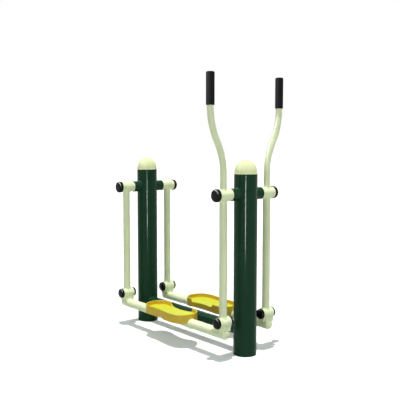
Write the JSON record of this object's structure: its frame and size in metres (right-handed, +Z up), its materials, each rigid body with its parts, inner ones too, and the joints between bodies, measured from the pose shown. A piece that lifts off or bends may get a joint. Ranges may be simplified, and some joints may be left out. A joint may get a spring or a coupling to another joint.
{
  "type": "outdoor air walker",
  "caption": "Outdoor air walker: round posts with domed caps carry hanging arms, swinging beams with moulded foot pedals, and bent push handles with rubber grips.",
  "frame": {"origin": "on the ground, midway between the two posts", "axes": "+X towards the handle end, +Y to the left of a user who faces the handles, +Z up"},
  "size_m": [0.944, 0.4898, 1.3561],
  "materials": {
    "post_paint": "gloss",
    "arm_paint": "gloss",
    "dome_plastic": "gloss",
    "cap_plastic": "gloss",
    "grip_rubber": "matte",
    "pedal_plastic": "satin",
    "steel": "brushed"
  },
  "bodies": {
    "frame": {"front_post": "post_paint", "rear_post": "post_paint", "base_beam": "post_paint", "front_post_cap": "dome_plastic", "rear_post_cap": "dome_plastic", "front_crossbar": "post_paint", "rear_crossbar": "post_paint", "front_axle": "steel", "rear_axle": "steel", "axle_inner_rings": "steel", "axle_spacers": "steel", "axle_nuts": "steel"},
    "right_front_arm": {"right_front_arm_tube": "arm_paint", "right_front_upper_hub": "arm_paint", "right_front_lower_hub": "arm_paint", "right_front_bearings": "steel", "right_front_hub_cap": "cap_plastic", "right_handle": "arm_paint", "right_grip": "grip_rubber"},
    "right_rear_arm": {"right_rear_arm_tube": "arm_paint", "right_rear_upper_hub": "arm_paint", "right_rear_lower_hub": "arm_paint", "right_rear_bearings": "steel", "right_rear_hub_cap": "cap_plastic"},
    "right_pedal_beam": {"right_beam_tube": "arm_paint", "right_beam_end_discs": "arm_paint", "right_front_yoke": "arm_paint", "right_rear_yoke": "arm_paint", "right_pedal": "pedal_plastic", "right_pedal_brackets": "arm_paint", "right_pedal_bolts": "steel", "right_pivot_bolts": "steel", "right_pivot_nuts": "steel", "right_pivot_caps": "cap_plastic", "right_pivot_inner_rings": "steel", "right_pivot_spacers": "steel"},
    "left_front_arm": {"left_front_arm_tube": "arm_paint", "left_front_upper_hub": "arm_paint", "left_front_lower_hub": "arm_paint", "left_front_bearings": "steel", "left_front_hub_cap": "cap_plastic", "left_handle": "arm_paint", "left_grip": "grip_rubber"},
    "left_rear_arm": {"left_rear_arm_tube": "arm_paint", "left_rear_upper_hub": "arm_paint", "left_rear_lower_hub": "arm_paint", "left_rear_bearings": "steel", "left_rear_hub_cap": "cap_plastic"},
    "left_pedal_beam": {"left_beam_tube": "arm_paint", "left_beam_end_discs": "arm_paint", "left_front_yoke": "arm_paint", "left_rear_yoke": "arm_paint", "left_pedal": "pedal_plastic", "left_pedal_brackets": "arm_paint", "left_pedal_bolts": "steel", "left_pivot_bolts": "steel", "left_pivot_nuts": "steel", "left_pivot_caps": "cap_plastic", "left_pivot_inner_rings": "steel", "left_pivot_spacers": "steel"}
  },
  "joints": [
    {"name": "right_front_swing", "type": "hinge", "parent": "frame", "child": "right_front_arm", "pos_m": [0.415, -0.1434, 0.788], "axis": [0, 1, 0], "range_deg": [-50, 50]},
    {"name": "right_rear_swing", "type": "hinge", "parent": "frame", "child": "right_rear_arm", "pos_m": [-0.415, -0.1434, 0.788], "axis": [0, 1, 0], "range_deg": [-50, 50]},
    {"name": "right_beam_pivot", "type": "hinge", "parent": "right_front_arm", "child": "right_pedal_beam", "pos_m": [0.415, -0.1434, 0.181], "axis": [0, 1, 0], "range_deg": [-50, 50]},
    {"name": "left_front_swing", "type": "hinge", "parent": "frame", "child": "left_front_arm", "pos_m": [0.415, 0.1434, 0.788], "axis": [0, 1, 0], "range_deg": [-50, 50]},
    {"name": "left_rear_swing", "type": "hinge", "parent": "frame", "child": "left_rear_arm", "pos_m": [-0.415, 0.1434, 0.788], "axis": [0, 1, 0], "range_deg": [-50, 50]},
    {"name": "left_beam_pivot", "type": "hinge", "parent": "left_front_arm", "child": "left_pedal_beam", "pos_m": [0.415, 0.1434, 0.181], "axis": [0, 1, 0], "range_deg": [-50, 50]}
  ],
  "couplings": [
    {"joint": "right_rear_swing", "follows": "right_front_swing", "ratio": 1},
    {"joint": "right_beam_pivot", "follows": "right_front_swing", "ratio": -1},
    {"joint": "left_rear_swing", "follows": "left_front_swing", "ratio": 1},
    {"joint": "left_beam_pivot", "follows": "left_front_swing", "ratio": -1}
  ]
}
